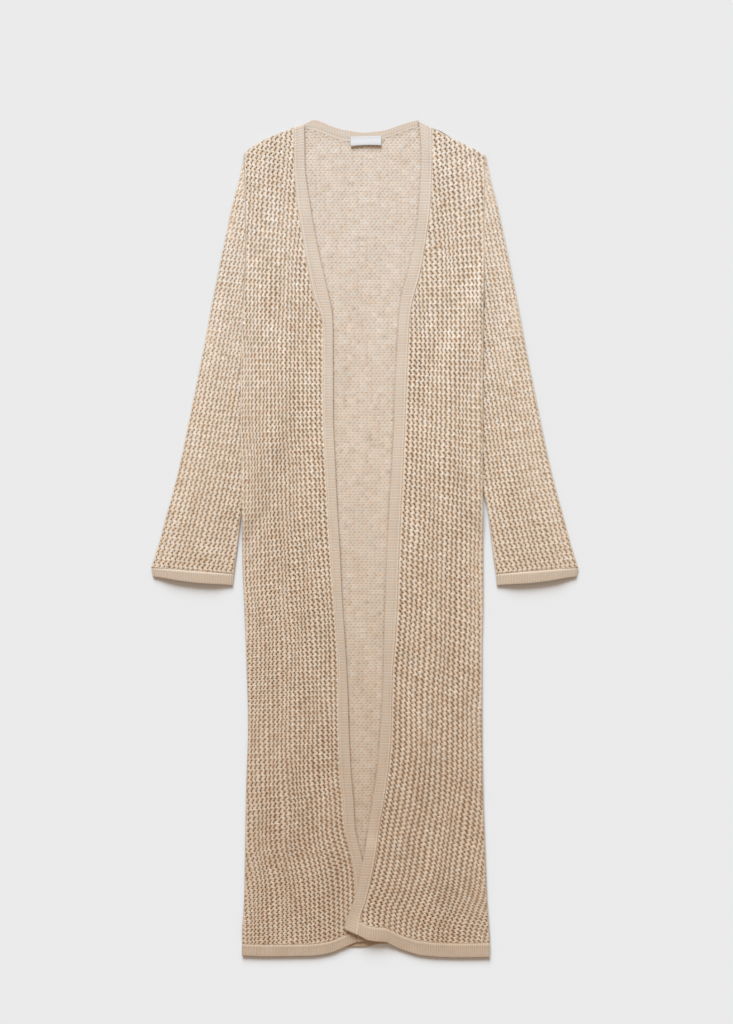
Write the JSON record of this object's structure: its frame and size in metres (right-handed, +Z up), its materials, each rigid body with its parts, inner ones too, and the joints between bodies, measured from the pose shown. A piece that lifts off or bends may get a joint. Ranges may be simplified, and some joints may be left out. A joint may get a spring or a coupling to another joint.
{
  "type": "duster cardigan",
  "caption": "Long open-front openwork knit cardigan with long sleeves, plain knit bands and a blank neck label, laid flat.",
  "frame": {"origin": "middle of the garment's box on the surface it lies on", "axes": "+Y up the garment from hem to neck, +X to the wearer's left, +Z up from the surface to the front of the garment"},
  "size_m": [0.64, 1.2557, 0.0112],
  "materials": {
    "knit": "openwork zigzag knit, matt, beige",
    "plain_knit": "fine plain knit bands, matt, beige",
    "label": "smooth woven white satin, blank"
  },
  "bodies": {
    "root": {"back_panel": "knit", "front_right": "knit", "front_left": "knit", "sleeve_right": "knit", "sleeve_left": "knit", "band_front_right": "plain_knit", "band_front_left": "plain_knit", "band_neck": "plain_knit", "hem_back": "plain_knit", "hem_front_right": "plain_knit", "hem_front_left": "plain_knit", "cuff_right": "plain_knit", "cuff_left": "plain_knit", "neck_label": "label"}
  },
  "joints": []
}
